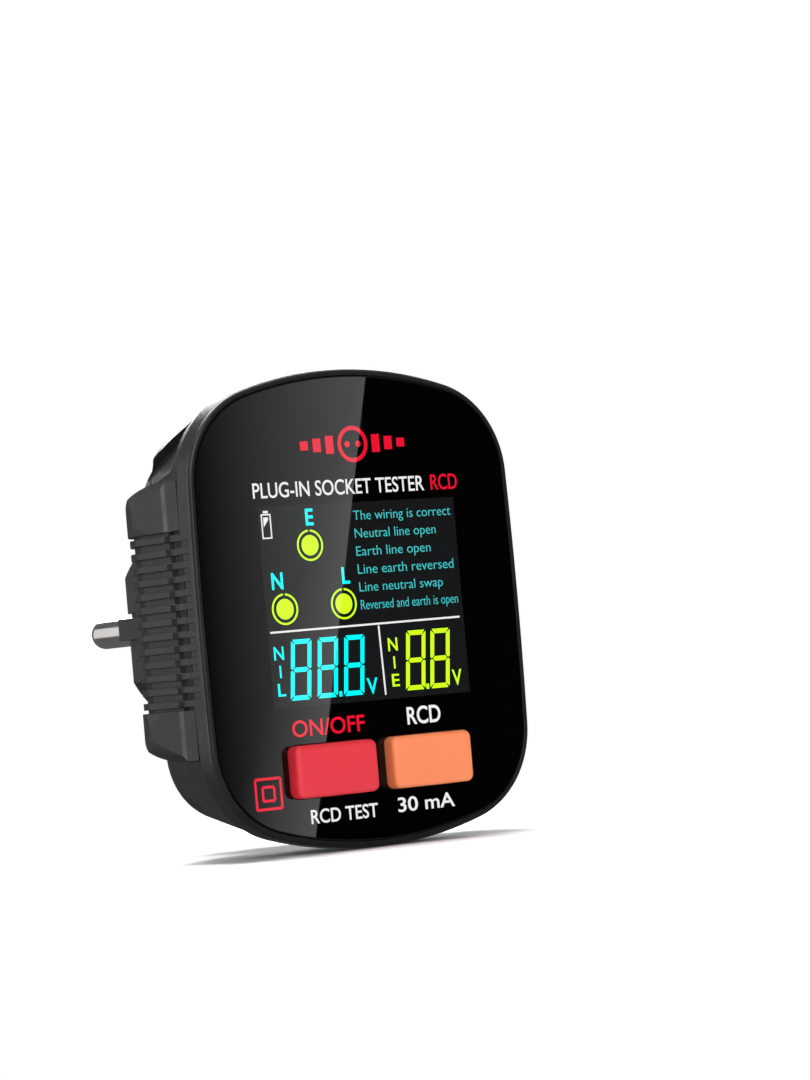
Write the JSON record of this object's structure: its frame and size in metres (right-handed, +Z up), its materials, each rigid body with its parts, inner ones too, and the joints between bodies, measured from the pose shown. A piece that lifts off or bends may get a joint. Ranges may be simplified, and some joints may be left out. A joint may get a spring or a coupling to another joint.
{
  "type": "socket tester plug",
  "caption": "Plug-in mains socket and RCD tester with a curved case, gloss display panel, two keys, round pins and a hybrid earth contact.",
  "frame": {"origin": "centre of the plug's contact face, midway between the two pins", "axes": "+Y out of the plug along the pins, +Z up as the display is read, +X to the right seen from the display"},
  "size_m": [0.0626, 0.0664, 0.0746],
  "materials": {
    "case_black": "satin moulded ABS",
    "door_black": "satin moulded ABS, darker",
    "lens_black": "polished acrylic, black print behind",
    "screen_glass": "clear",
    "light_guide_white": "diffuse",
    "ribbon_amber": "film",
    "key_red": "satin rubberised",
    "key_orange": "satin rubberised",
    "component_black": "moulded",
    "board_green": "solder mask",
    "resistor_ceramic": "unglazed",
    "capacitor_yellow": "moulded box",
    "relay_blue": "moulded box",
    "fuse_ceramic": "glazed",
    "plug_black": "satin moulded",
    "pin_nickel": "polished nickel",
    "clip_nickel": "stamped nickel plate",
    "strap_brass": "stamped",
    "screw_black": "black oxide",
    "cell_sleeve": "printed sleeve",
    "contact_steel": "plated spring steel",
    "screw_steel": "zinc plated",
    "print_white": "printed",
    "print_red": "printed",
    "screen_black": "display ground seen through the panel",
    "screen_cyan": "lit display segment",
    "screen_lime": "lit display segment",
    "screen_teal": "lit display words"
  },
  "bodies": {
    "housing": {"front_cover": "case_black", "display_lens": "lens_black", "lcd_glass": "screen_glass", "lcd_backlight": "light_guide_white", "lcd_ribbon": "ribbon_amber", "switch_bodies": "component_black", "main_board": "board_green", "control_chip": "component_black", "board_header": "component_black", "power_board": "board_green", "load_resistors": "resistor_ceramic", "mains_capacitor": "capacitor_yellow", "test_relay": "relay_blue", "input_fuse": "fuse_ceramic", "rear_shell": "case_black", "plug_body": "plug_black", "line_pin": "pin_nickel", "neutral_pin": "pin_nickel", "earth_clip_upper": "clip_nickel", "earth_clip_lower": "clip_nickel", "earth_strap": "strap_brass", "earth_socket_tube": "strap_brass", "battery_cell_upper": "cell_sleeve", "battery_cell_lower": "cell_sleeve", "battery_contacts": "contact_steel", "battery_springs": "contact_steel", "case_screws": "screw_steel"},
    "power_key": {"power_button": "key_red", "power_switch_stem": "component_black"},
    "rcd_key": {"rcd_button": "key_orange", "rcd_switch_stem": "component_black"},
    "door": {"battery_door": "door_black"},
    "door_screw": {"battery_door_screw": "screw_black"}
  },
  "joints": [
    {"name": "power_button_press", "type": "slide", "parent": "housing", "child": "power_key", "axis": [0, 1, 0], "range_m": [0, 0.001], "stiffness_N_per_m": 1500, "springref_m": -0.0005},
    {"name": "rcd_button_press", "type": "slide", "parent": "housing", "child": "rcd_key", "axis": [0, 1, 0], "range_m": [0, 0.001], "stiffness_N_per_m": 1500, "springref_m": -0.0005},
    {"name": "battery_door_removal", "type": "slide", "parent": "housing", "child": "door", "axis": [0, 1, 0], "range_m": [0, 0.03]},
    {"name": "door_screw_turn", "type": "hinge", "parent": "door", "child": "door_screw", "pos_m": [0, -0.022, -0.0238], "axis": [0, 1, 0], "continuous": true}
  ]
}
